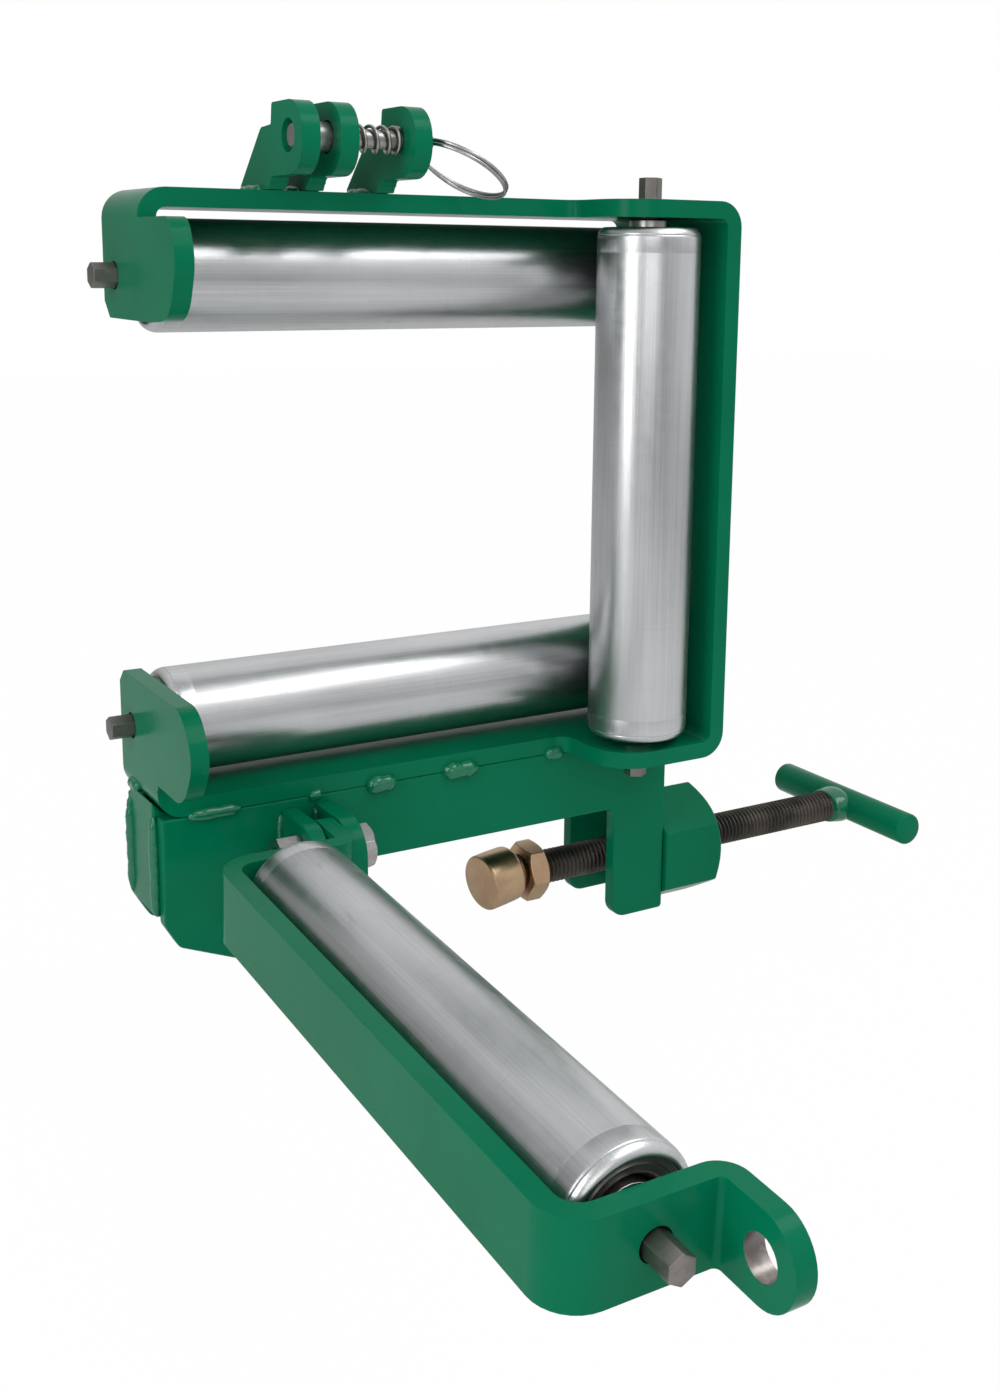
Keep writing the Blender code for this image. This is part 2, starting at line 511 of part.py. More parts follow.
# ---- four rollers ------------------------------------------------------------
def roller(name, axis, centre, low, high, axle_low, axle_high):
    """Tube, two bearing cups, two hubs and a hex axle on one axis."""
    made = []
    outside = ROLLER_D / 2
    inside = outside - ROLLER_WALL
    tube_low, tube_high = low + HUB_REACH, high - HUB_REACH
    middle = Vector(along(axis, *{"X": (centre[1], centre[2]), "Z": (centre[0], centre[1])}[axis],
                          (low + high) / 2))
    base = Vector(along(axis, *{"X": (centre[1], centre[2]), "Z": (centre[0], centre[1])}[axis], 0))
    lip = inside - ROLLER_LIP
    made.append(turned(name + "_tube", axis, base, [
        (outside - 0.9, tube_low), (outside, tube_low + 0.9), (outside, tube_high - 0.9),
        (outside - 0.9, tube_high), (lip, tube_high), (lip, tube_high - 1.2),
        (inside, tube_high - 1.2), (inside, tube_low + 1.2), (lip, tube_low + 1.2),
        (lip, tube_low)], (ZINC, 1.0, 0.35), 32, middle))
    for end, edge, inward in (("a", tube_low, 1), ("b", tube_high, -1)):
        cup = [(inside - FIT, 1.5), (inside - FIT, 12.5), (11.9, 12.5), (11.9, 5.2), (14.2, 1.5)]
        made.append(turned(name + "_cup_" + end, axis, base,
                           [(r, edge + inward * h) for r, h in cup], (STEEL, 0.6, 0.5), 24, middle))
        out = edge - inward * (HUB_REACH - FIT)
        hub = [(0, out), (8.4, out), (9.2, out + inward * 0.8), (9.2, edge + inward * 0.4),
               (11.6, edge + inward * 1.4), (11.6, edge + inward * 13), (0, edge + inward * 13)]
        cone = turned(name + "_hub_" + end, axis, base, hub, (STEEL, 0.8, 0.4), 24, middle)
        span = sorted((out - inward * 3, edge + inward * 16))
        bore = prism(name + "_hex_" + end, axis, *span, [hexagon(
            *{"X": (base.y, base.z), "Z": (base.x, base.y)}[axis], HEX_AXLE + 2 * FIT, math.pi / 2)])
        take_away(cone, bore)
        made += [cone, bore]
    made.append(prism(name + "_axle", axis, axle_low, axle_high, [hexagon(
        *{"X": (base.y, base.z), "Z": (base.x, base.y)}[axis], HEX_AXLE, math.pi / 2)],
        (STEEL, 0.9, 0.45), middle))
    return made


roller("lower_roller", "X", (0, 0, 0), BAR, WALL, -AXLE_STAND, OUTER + AXLE_STAND)
roller("upper_roller", "X", (0, 0, ROLLER_RISE), BAR, WALL, -AXLE_STAND, OUTER + AXLE_STAND)
roller("upright_roller", "Z", (UPRIGHT_X, PIVOT_Y, 0), FLOOR, CEILING, UNDER - AXLE_STAND,
       TOP + AXLE_STAND)
on_gate = roller("gate_roller", "Z", (GATE_ROLLER_X, PIVOT_Y, 0), GATE_LOW + BAR, GATE_HIGH - BAR,
                 GATE_LOW - 6.5, GATE_HIGH + AXLE_STAND + 2.6)

gate_swing = bpy.data.objects.new("gate_swing", None)
model.objects.link(gate_swing)
gate_swing.location = (Vector(hinge_at) - DATUM) * 0.001
gate_swing.rotation_euler.x = math.radians(90 + GATE_DROOP)
for piece in [gate, *gate_tools, *on_gate]:
    piece.parent = gate_swing
    piece.matrix_parent_inverse = Matrix.Translation(-gate_swing.location)
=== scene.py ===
# A four-roller cable guide with a hinged gate and a C-clamp foot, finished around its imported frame.
import json
import math
import random

import bpy
from mathutils import Matrix, Vector


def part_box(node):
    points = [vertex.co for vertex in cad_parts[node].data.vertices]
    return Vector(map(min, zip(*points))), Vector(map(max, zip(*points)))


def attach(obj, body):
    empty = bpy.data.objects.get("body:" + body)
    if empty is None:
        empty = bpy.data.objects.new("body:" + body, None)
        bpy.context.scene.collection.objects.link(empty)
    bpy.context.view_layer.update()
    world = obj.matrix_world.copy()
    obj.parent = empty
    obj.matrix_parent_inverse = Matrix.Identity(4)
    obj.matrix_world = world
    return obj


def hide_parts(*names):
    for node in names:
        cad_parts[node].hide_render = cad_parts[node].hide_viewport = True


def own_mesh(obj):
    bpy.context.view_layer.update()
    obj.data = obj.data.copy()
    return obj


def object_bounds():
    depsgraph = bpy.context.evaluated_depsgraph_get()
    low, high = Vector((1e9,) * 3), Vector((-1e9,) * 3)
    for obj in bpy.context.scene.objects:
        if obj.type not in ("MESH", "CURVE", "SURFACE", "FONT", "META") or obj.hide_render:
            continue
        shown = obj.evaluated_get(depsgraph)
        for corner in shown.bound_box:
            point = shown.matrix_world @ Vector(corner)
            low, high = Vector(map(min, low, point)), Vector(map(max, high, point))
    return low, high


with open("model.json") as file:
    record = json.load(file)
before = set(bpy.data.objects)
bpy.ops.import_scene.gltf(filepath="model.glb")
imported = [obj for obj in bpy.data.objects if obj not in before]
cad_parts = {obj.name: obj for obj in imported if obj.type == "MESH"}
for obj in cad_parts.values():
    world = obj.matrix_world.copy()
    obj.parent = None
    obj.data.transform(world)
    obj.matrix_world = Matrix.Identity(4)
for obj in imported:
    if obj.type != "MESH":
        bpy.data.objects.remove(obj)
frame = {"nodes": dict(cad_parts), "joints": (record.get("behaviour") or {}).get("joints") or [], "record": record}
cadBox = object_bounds()
nodes = frame["nodes"]
bodyOf = {node: body for body, members in frame["record"]["behaviour"]["bodies"].items() for node in members}
random.seed(7)


# small helpers: shader sums written as Python, and edit-mode shorthand


class Sock:  # a node socket that can be added, multiplied and so on
    def __init__(self, look, socket):
        self.look, self.socket = look, socket

    def _sum(self, operation, first, second):
        node = self.look.tree.nodes.new("ShaderNodeMath")
        node.operation = operation
        for slot, value in zip(node.inputs, (first, second)):
            self.look.feed(slot, value)
        return Sock(self.look, node.outputs[0])

    def __add__(self, other): return self._sum("ADD", self, other)
    def __radd__(self, other): return self._sum("ADD", other, self)
    def __sub__(self, other): return self._sum("SUBTRACT", self, other)
    def __rsub__(self, other): return self._sum("SUBTRACT", other, self)
    def __mul__(self, other): return self._sum("MULTIPLY", self, other)
    def __rmul__(self, other): return self._sum("MULTIPLY", other, self)

    def clamp(self, low, high):  # 0 at low, 1 at high, smooth between
        return self.look.node("ShaderNodeMapRange", {"interpolation_type": "SMOOTHSTEP"},
                              {"Value": self, "From Min": low, "From Max": high})


class Look:  # a material and the shortest way to add nodes to it
    def __init__(self, name, world=False):
        owner = bpy.data.worlds.new(name) if world else bpy.data.materials.new(name)
        owner.use_nodes = True
        self.owner, self.tree = owner, owner.node_tree
        if not world:
            self.shader = self.tree.nodes["Principled BSDF"]
            self.place = self.node("ShaderNodeTexCoord", out="Object")

    def feed(self, slot, value):
        if isinstance(value, Sock):
            self.tree.links.new(value.socket, slot)
        elif value is not None:
            slot.default_value = value

    def node(self, kind, settings=None, values=None, out=0):
        made = self.tree.nodes.new(kind)
        for key, value in (settings or {}).items():
            setattr(made, key, value)
        for key, value in (values or {}).items():
            self.feed(made.inputs[key], value)
        return Sock(self, made.outputs[out])

    def noise(self, scale, detail=3, rough=0.5, vector=None, stretch=None):
        where = vector or self.place
        if stretch:
            where = self.node("ShaderNodeMapping", None, {"Vector": where, "Scale": stretch})
        return self.node("ShaderNodeTexNoise", None, {
            "Vector": where, "Scale": scale, "Detail": detail, "Roughness": rough})

    def blend(self, factor, first, second):
        made = self.tree.nodes.new("ShaderNodeMix")
        made.data_type = "RGBA"
        for slot, value in zip((made.inputs[0], made.inputs[6], made.inputs[7]),
                               (factor, first, second)):
            self.feed(slot, (*value, 1) if isinstance(value, tuple) and len(value) == 3 else value)
        return Sock(self, made.outputs[2])

    def set(self, **values):
        for key, value in values.items():
            slot = self.shader.inputs[key.replace("_", " ")]
            self.feed(slot, (*value, 1) if isinstance(value, tuple) and len(value) == 3 else value)

    def bump(self, height, distance, strength=1.0):
        return self.node("ShaderNodeBump", None, {
            "Height": height, "Distance": distance, "Strength": strength})


def only(thing):  # make one object the only one selected, and active
    bpy.ops.object.select_all(action="DESELECT")
    thing.select_set(True)
    bpy.context.view_layer.objects.active = thing


def edit(select="DESELECT"):
    bpy.ops.object.mode_set(mode="EDIT")
    bpy.ops.mesh.select_all(action=select)


def leave():
    bpy.ops.object.mode_set(mode="OBJECT")


def applyAll(thing):
    only(thing)
    for modifier in list(thing.modifiers):
        bpy.ops.object.modifier_apply(modifier=modifier.name)


def settle(thing, name, look, body, angle=38):  # name it, seat it at the origin, paint it
    only(thing)
    bpy.ops.object.transform_apply(location=True, rotation=True, scale=True)
    thing.name = name
    thing.data.name = name
    thing.data.materials.clear()
    thing.data.materials.append(look.owner)
    bpy.ops.object.shade_smooth_by_angle(angle=math.radians(angle))
    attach(thing, body)
    return thing


print("helpers ready")


# camera, world, floor and lamps

cameraSet = {"spot": (-0.24701, -0.66390, 0.31145), "yaw": 31.165, "pitch": 11.341, "roll": 0.673,
             "lens": 41.179, "shift": (-0.01836, -0.0863)}


def aimedCamera(data):
    yaw, pitch, roll = (math.radians(data[key]) for key in ("yaw", "pitch", "roll"))
    ahead = Vector((math.cos(pitch) * math.sin(yaw), math.cos(pitch) * math.cos(yaw), -math.sin(pitch)))
    level = Vector((math.cos(yaw), -math.sin(yaw), 0))
    upright = level.cross(ahead)
    right = math.cos(roll) * level + math.sin(roll) * upright
    up = math.cos(roll) * upright - math.sin(roll) * level
    bpy.ops.object.camera_add()
    eye = bpy.context.object
    eye.name = "camera"
    turn = Matrix((right, up, -ahead)).transposed().to_4x4()
    eye.matrix_world = Matrix.Translation(data["spot"]) @ turn
    eye.data.sensor_width = 36
    eye.data.lens = data["lens"]
    eye.data.shift_x, eye.data.shift_y = data["shift"]
    eye.data.clip_start = 0.02
    bpy.context.scene.camera = eye


studio = {"fillNear": 0.33, "fillFar": 0.66, "mirrorNear": 0.25, "mirrorFar": 0.95, "floorDrop": 0.05,
          "floorHidden": 0.985, "floorWide": 9, "aim": (0.08, -0.05, 0.15)}
lamps = [  # name, where it hangs, its two sides, its watts
    ("overheadLamp", (0.62, -0.62, 1.25), (1.2, 0.45), 6),
    ("leftLamp", (-1.00, -0.42, 0.55), (0.45, 1.0), 6),
    ("frontLamp", (-0.50, -1.30, 0.60), (0.9, 0.7), 3)]


def buildStudio():
    world = Look("studioWorld", world=True)
    bpy.context.scene.world = world.owner
    path = world.tree.nodes.new("ShaderNodeLightPath")
    seen, gloss, through = (Sock(world, path.outputs[name]) for name in
                            ("Is Camera Ray", "Is Glossy Ray", "Is Transmission Ray"))
    way = world.node("ShaderNodeTexCoord", out="Generated")
    split = world.tree.nodes.new("ShaderNodeSeparateXYZ")
    world.feed(split.inputs[0], way)
    x, y, z = (Sock(world, output) for output in split.outputs)
    behind = (y * 0.05 + x * 0.65 + z * 0.75).clamp(-0.35, 0.85)  # dim low on the left, white high on the right
    mirrored = behind * (studio["mirrorFar"] - studio["mirrorNear"]) + studio["mirrorNear"]
    direct = (seen + through).clamp(0, 1)
    fill = behind * (studio["fillFar"] - studio["fillNear"]) + studio["fillNear"]
    strength = fill * (1 - gloss) * (1 - direct) + mirrored * gloss + direct
    back = world.tree.nodes["Background"]
    back.inputs["Color"].default_value = (1, 1, 1, 1)
    world.feed(back.inputs["Strength"], strength)

    bpy.ops.mesh.primitive_plane_add(size=studio["floorWide"], location=(0, 0, cadBox[0][2] - studio["floorDrop"]))
    floor = bpy.context.object
    floor.name = "floor"
    edit("SELECT")
    bpy.ops.mesh.subdivide(number_cuts=4)
    leave()
    paper = Look("palePaper")
    paper.set(Base_Color=(0.86, 0.86, 0.86), Roughness=0.9, Specular_IOR_Level=0.1)
    light = paper.tree.nodes.new("ShaderNodeLightPath")
    glow = paper.tree.nodes.new("ShaderNodeEmission")
    mix = paper.tree.nodes.new("ShaderNodeMixShader")
    end = paper.tree.nodes["Material Output"]
    share = Sock(paper, light.outputs["Is Camera Ray"]) * studio["floorHidden"]
    paper.feed(mix.inputs[0], share)
    paper.tree.links.new(paper.shader.outputs[0], mix.inputs[1])
    paper.tree.links.new(glow.outputs[0], mix.inputs[2])
    paper.tree.links.new(mix.outputs[0], end.inputs[0])
    floor.data.materials.append(paper.owner)

    aim = Vector(studio["aim"])
    for name, spot, sides, watts in lamps:
        bpy.ops.object.light_add(type="AREA", location=spot)
        lamp = bpy.context.object
        lamp.name = name
        lamp.data.shape = "RECTANGLE"
        lamp.data.size, lamp.data.size_y = sides
        lamp.data.energy = watts
        lamp.rotation_euler = (Vector(spot) - aim).to_track_quat("Z", "Y").to_euler()
        lamp.visible_camera = False


aimedCamera(cameraSet)
buildStudio()
bpy.context.scene.view_settings.view_transform = "Standard"
print("camera, floor and lamps ready")


# finishes

paintSet = {"deep": (0.0005, 0.136, 0.062), "light": (0.001, 0.162, 0.078), "dusty": (0.006, 0.20, 0.108),
            "gloss": 0.07, "rough": 0.13, "weldGloss": 0.5, "weldRough": 0.06}
metalSet = {"zinc": (0.58, 0.59, 0.60), "dull": (0.46, 0.47, 0.48), "drawn": (0.17, 0.16, 0.15),
            "drawnLight": (0.27, 0.25, 0.23)}


def greenPaint(name, gloss, rough):
    look = Look(name)
    wide = look.noise(9, 3, 0.55)
    mottle = look.noise(70, 4, 0.6)
    tone = look.blend(wide.clamp(0.3, 0.7), paintSet["deep"], paintSet["light"])
    tone = look.blend(mottle.clamp(0.62, 0.8) * 0.12, tone, paintSet["dusty"])
    peel = look.noise(420, 2, 0.5)
    runs = look.noise(60, 3, 0.5, stretch=(1, 1, 0.35))
    look.set(Base_Color=tone, Roughness=rough + mottle * 0.14, Specular_IOR_Level=gloss,
             Normal=look.bump(peel * 0.5 + runs * 0.9, 0.00022, 0.55))
    return look


def galvanised(name, turn):  # zinc-coated tube; turn stands the drawn lines along its length
    look = Look(name)
    lain = look.node("ShaderNodeMapping", None, {"Vector": look.place, "Rotation": turn})
    lines = look.noise(1500, 3, 0.65, lain, (1, 1, 0.006))
    rings = look.noise(1100, 3, 0.7, lain, (0.03, 0.03, 1)).clamp(0.58, 0.78)
    cloud = look.noise(16, 4, 0.62, lain, (1, 1, 0.4))
    spangle = look.node("ShaderNodeTexVoronoi", {"feature": "F1"},
                        {"Vector": lain, "Scale": 260, "Randomness": 1.0}, out="Color")
    speck = look.node("ShaderNodeSeparateColor", None, {0: spangle})
    scuff = look.noise(150, 5, 0.7, lain, (1, 1, 0.25)).clamp(0.60, 0.72)
    tone = look.blend(cloud.clamp(0.32, 0.72), metalSet["dull"], metalSet["zinc"])
    tone = look.blend(lines.clamp(0.35, 0.65) * 0.4, tone, (0.68, 0.69, 0.70))
    tone = look.blend(rings * 0.3, tone, (0.36, 0.365, 0.37))
    tone = look.blend(scuff * 0.25, tone, (0.34, 0.345, 0.35))
    look.set(Base_Color=tone, Metallic=1.0, Roughness=0.25 + speck * 0.05 + cloud * 0.08 + scuff * 0.08,
             Normal=look.bump(lines + rings * 0.5 + speck * 0.25, 0.00006, 0.6))
    return look


def plainMetal(name, colour, second, rough, grain=500, stretch=None, depth=0.00006, metallic=1.0):
    look = Look(name)
    fine = look.noise(grain, 4, 0.6, stretch=stretch)
    patch = look.noise(60, 4, 0.65)
    tone = look.blend(patch.clamp(0.35, 0.68), colour, second)
    tone = look.blend(fine.clamp(0.5, 0.8) * 0.3, tone, tuple(min(c * 1.5 + 0.01, 1) for c in colour))
    look.set(Base_Color=tone, Metallic=metallic, Roughness=rough + fine * 0.14,
             Normal=look.bump(fine + patch, depth, 0.6))
    return look


paint = greenPaint("greenPaint", paintSet["gloss"], paintSet["rough"])
weldPaint = greenPaint("greenPaintOnWelds", paintSet["weldGloss"], paintSet["weldRough"])
tubeX = galvanised("galvanisedTubeLevel", (0, math.radians(90), 0))
tubeZ = galvanised("galvanisedTubeUpright", (0, 0, 0))
tubeY = galvanised("galvanisedTubeGate", (math.radians(87), 0, 0))
pressed = plainMetal("pressedSteel", (0.26, 0.25, 0.24), (0.12, 0.115, 0.11), 0.34)
drawnX = plainMetal("drawnSteelLevel", metalSet["drawn"], metalSet["drawnLight"], 0.36, 700, (0.03, 1, 1))
drawnZ = plainMetal("drawnSteelUpright", metalSet["drawn"], metalSet["drawnLight"], 0.36, 700, (1, 1, 0.03))
drawnY = plainMetal("drawnSteelGate", metalSet["drawn"], metalSet["drawnLight"], 0.36, 700, (1, 0.03, 1))
yellowZinc = plainMetal("yellowZinc", (0.46, 0.30, 0.19), (0.52, 0.37, 0.22), 0.27, 300)
darkScrew = plainMetal("oiledScrew", (0.06, 0.055, 0.05), (0.12, 0.105, 0.09), 0.42, 900)
brightZinc = plainMetal("brightZinc", (0.42, 0.42, 0.42), (0.30, 0.295, 0.285), 0.24, 600)
springWire = plainMetal("springWire", (0.46, 0.43, 0.39), (0.30, 0.28, 0.26), 0.26, 900)
bareHole = plainMetal("bareHole", (0.42, 0.39, 0.37), (0.20, 0.18, 0.17), 0.30, 400)
print("finishes mixed")


# shaping helpers

def turned(profile, centre, axis, steps=64, closed=False):  # spin a (radius, length) outline about an axis
    bpy.ops.mesh.primitive_plane_add(size=0.01)
    thing = bpy.context.object
    edit("SELECT")
    bpy.ops.mesh.merge(type="CENTER")
    bpy.ops.transform.translate(value=(profile[0][0], 0, profile[0][1]))
    path = profile + [profile[0]] if closed else profile
    for (r0, z0), (r1, z1) in zip(path, path[1:]):
        bpy.ops.mesh.extrude_vertices_move(TRANSFORM_OT_translate={"value": (r1 - r0, 0, z1 - z0)})
    bpy.ops.mesh.select_all(action="SELECT")
    bpy.ops.mesh.remove_doubles(threshold=1e-7)
    bpy.ops.mesh.spin(steps=steps, angle=math.tau, center=(0, 0, 0), axis=(0, 0, 1))
    bpy.ops.mesh.select_all(action="SELECT")
    bpy.ops.mesh.remove_doubles(threshold=2e-6)
    bpy.ops.mesh.normals_make_consistent(inside=False)
    leave()
    turn = Vector((0, 0, 1)).rotation_difference(Vector(axis)).to_matrix().to_4x4()
    thing.matrix_world = Matrix.Translation(centre) @ turn
    return thing


def nodeCopy(node):  # a merged copy of a CAD node's mesh with its flat faces made whole
    only(nodes[node])
    bpy.ops.object.duplicate()
    thing = bpy.context.object
    for key in list(thing.keys()):
        del thing[key]
    thing.data = thing.data.copy()
    if thing.data.has_custom_normals:
        bpy.ops.mesh.customdata_custom_splitnormals_clear()
    edit("SELECT")
    bpy.ops.mesh.remove_doubles(threshold=5e-6)
    bpy.ops.mesh.dissolve_limited(angle_limit=math.radians(0.6))
    leave()
    return thing


def softened(node, name, look, width=0.0008, angle=40, segments=3):
    thing = nodeCopy(node)
    bevel = thing.modifiers.new("edges", "BEVEL")
    bevel.limit_method = "ANGLE"
    bevel.angle_limit = math.radians(angle)
    bevel.width, bevel.segments = width, segments
    bevel.use_clamp_overlap = True
    bevel.miter_outer = "MITER_ARC"
    applyAll(thing)
    settle(thing, name, look, bodyOf[node])
    even = thing.modifiers.new("flatFaces", "WEIGHTED_NORMAL")  # flat faces stay flat, only the edges curve
    even.keep_sharp = True
    applyAll(thing)
    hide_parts(node)
    return thing


def spanAlong(node, axis):  # where a CAD node starts and ends along an axis
    reach = [vertex.co.dot(axis) for vertex in nodes[node].data.vertices]
    return min(reach), max(reach)


def middleOf(node):
    low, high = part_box(node)
    return (Vector(low) + Vector(high)) / 2


def sweptWire(name, points, radius, look, body, closed=False, sizes=None, sides=3):
    bpy.ops.curve.primitive_bezier_curve_add()
    thing = bpy.context.object
    thing.data.splines.clear()
    line = thing.data.splines.new("POLY")
    line.points.add(len(points) - 1)
    for spot, place, size in zip(line.points, points, sizes or [1.0] * len(points)):
        spot.co, spot.radius = (*place, 1), size
    line.use_cyclic_u = closed
    thing.data.bevel_depth, thing.data.bevel_resolution = radius, sides
    thing.data.use_fill_caps = not closed
    bpy.ops.object.convert(target="MESH")
    thing = bpy.context.object
    edit("SELECT")
    bpy.ops.mesh.remove_doubles(threshold=1e-6)
    bpy.ops.mesh.normals_make_consistent(inside=False)
    leave()
    settle(thing, name, look, body, 60)
    return thing


# rollers: rolled-in tube, pressed cups, turned hubs and hex axles

rollerSet = {"steps": 72, "roll": 3.4, "rollLong": 5.6, "lip": 3.7, "wall": 2.1, "groove": 3.6, "mark": 11.5,
             "cup": [(21.6, 1.6), (19.9, 1.6), (19.4, 2.3), (17.8, 2.3), (17.3, 1.6), (15.0, 1.6), (14.3, 2.0),
                     (13.3, 3.5), (12.2, 5.0), (11.95, 5.6), (11.95, 12.5), (21.6, 12.5)]}


def rollerTube(name, look):
    axis = Vector([j for j in frame["joints"] if j["name"] == name + "_spin"][0]["axis"])
    node = name + "_tube"
    low, high = spanAlong(node, axis)
    half = (high - low) / 2 * 1000
    middle = middleOf(node)
    side = axis.orthogonal().normalized()
    radius = (spanAlong(node, side)[1] - spanAlong(node, side)[0]) / 2 * 1000
    roll, rollLong = rollerSet["roll"], rollerSet["rollLong"]
    groove, mark = half - rollerSet["groove"], half - rollerSet["mark"]
    inner, lip = radius - rollerSet["wall"], radius - rollerSet["lip"]
    end = [(radius, mark - 0.4), (radius - 0.05, mark - 0.1), (radius - 0.05, mark + 0.1), (radius, mark + 0.4)]
    for bend in (0, 8, 16, None, 30, 42, 54, 66, 77, 87):  # the rolled-in shoulder, with a fine groove in it
        if bend is None:
            end += [(radius - 0.20, groove - 0.3), (radius - 0.42, groove), (radius - 0.27, groove + 0.3)]
        else:
            turn = math.radians(bend)
            end.append((radius - roll + roll * math.cos(turn), half - rollLong + rollLong * math.sin(turn)))
    end += [(lip + 0.12, half - 0.05), (lip, half - 0.3), (lip, half - 1.2), (inner, half - 1.5)]
    outline = [(r / 1000, z / 1000) for r, z in end]
    outline += [(r, -z) for r, z in reversed(outline)]
    tube = turned(outline, middle, axis, rollerSet["steps"], closed=True)
    settle(tube, name + "_tube_rolled", look, bodyOf[node], 50)
    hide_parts(node)
    for letter, way in (("a", -1), ("b", 1)):
        cupNode = name + "_cup_" + letter
        outline = [(r / 1000, way * (half - z) / 1000) for r, z in rollerSet["cup"]]
        made = turned(outline, middle, axis, 48, closed=True)
        settle(made, cupNode + "_pressed", pressed, bodyOf[cupNode], 35)
        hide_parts(cupNode)
        hubNode = name + "_hub_" + letter
        softened(hubNode, hubNode + "_turned", hubSteel, 0.0003, 30, 2)


hubSteel = plainMetal("turnedSteel", (0.46, 0.46, 0.46), (0.28, 0.27, 0.26), 0.24, 500)
rollerLooks = [("lower_roller", tubeX, drawnX), ("upper_roller", tubeX, drawnX),
               ("upright_roller", tubeZ, drawnZ), ("gate_roller", tubeY, drawnY)]
for name, look, _ in rollerLooks:
    rollerTube(name, look)
for name, _, look in rollerLooks:
    softened(name + "_axle", name + "_axle_bar", look, 0.0005, 35, 2)
print("rollers turned")


# painted frame, gate and clamp

for node in ("main_strap", "gate_strap", "clamp_plate_front", "clamp_plate_rear", "jaw_end_cap", "jaw_face",
             "screw_boss", "hinge_lug_left", "hinge_lug_right", "latch_ear_1", "latch_ear_2", "latch_ear_3"):
    softened(node, node + "_painted", paint, 0.0012)


def bareLatchHole():  # the pin has rubbed the paint out of the hole it enters when the gate is shut
    hinge = [joint for joint in frame["joints"] if joint["name"] == "gate_hinge"][0]
    pivot, axis = Vector(hinge["pos_m"]), Vector(hinge["axis"])
    pin = middleOf("latch_pin")
    hole = pivot + Matrix.Rotation(-math.radians(hinge["range_deg"][1]), 3, axis) @ (pin - pivot)
    strap = bpy.data.objects["gate_strap_painted"]
    strap.data.materials.append(bareHole.owner)
    for face in strap.data.polygons:
        away = face.center - hole
        away -= axis * away.dot(axis)
        if away.length < bareSet["reach"] and abs(face.normal.dot(axis)) < 0.5:
            face.material_index = 1


bareSet = {"reach": 0.0083}
bareLatchHole()
print("painted bars softened")


# clamp screw, pad, nut and handle

screwSet = {"pitch": 2.54, "depth": 1.2, "steps": 36, "ball": 7.2, "neck": 4.9}
padSet = {"nod": 5.3, "yaw": 7.8, "faceAhead": 12.0}


def clampScrew():
    axis = Vector((1, 0, 0))
    low, high = spanAlong("clamp_screw", axis)
    middle = middleOf("clamp_screw")
    start, stop = spanAlong("jam_nut", axis)[0] - 0.0003, high
    pitch, depth = screwSet["pitch"] / 1000, screwSet["depth"] / 1000
    crest = (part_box("clamp_screw")[1][2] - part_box("clamp_screw")[0][2]) / 2
    bpy.ops.mesh.primitive_plane_add(size=0.01)
    thing = bpy.context.object
    edit("SELECT")
    bpy.ops.mesh.merge(type="CENTER")
    bpy.ops.transform.translate(value=(crest - depth, 0, 0))
    tooth = [(0, 0.10), (depth, 0.36), (0, 0.16), (-depth, 0.38)]
    for out, share in tooth:
        bpy.ops.mesh.extrude_vertices_move(TRANSFORM_OT_translate={"value": (out, 0, share * pitch)})
    leave()
    wind = thing.modifiers.new("thread", "SCREW")
    wind.axis, wind.screw_offset, wind.steps, wind.render_steps = "Z", pitch, screwSet["steps"], screwSet["steps"]
    wind.iterations = int((stop - start) / pitch) + 4
    wind.use_merge_vertices, wind.merge_threshold = True, 1e-6
    applyAll(thing)
    thing.matrix_world = (Matrix.Translation((start - 2.0 * pitch, middle.y, middle.z))
                          @ Matrix.Rotation(math.radians(90), 4, "Y"))
    only(thing)
    bpy.ops.object.transform_apply(location=True, rotation=True, scale=True)
    for spot, way in ((start, -1), (stop, 1)):
        edit("SELECT")
        bpy.ops.mesh.bisect(plane_co=(spot, 0, 0), plane_no=(way, 0, 0), use_fill=True, clear_outer=True)
        leave()
    edit("SELECT")
    bpy.ops.mesh.remove_doubles(threshold=2e-6)
    bpy.ops.mesh.normals_make_consistent(inside=False)
    leave()
    settle(thing, "clamp_screw_thread", darkScrew, bodyOf["clamp_screw"], 25)
    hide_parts("clamp_screw")
    ball, neck = screwSet["ball"] / 1000, screwSet["neck"] / 1000
    outline = []
    for step in range(13):  # the ball's outline, down to where the neck leaves it
        turn = math.pi - (math.pi - math.asin(neck / ball)) * step / 12
        outline.append((ball * math.sin(turn), ball * math.cos(turn)))
    outline[0] = (0, -ball)
    outline += [(neck, start - low - ball + 0.001), (0, start - low - ball + 0.001)]
    tip = turned(outline, (low + ball, middle.y, middle.z), axis, 40)
    settle(tip, "clamp_screw_ball", darkScrew, bodyOf["clamp_screw"])


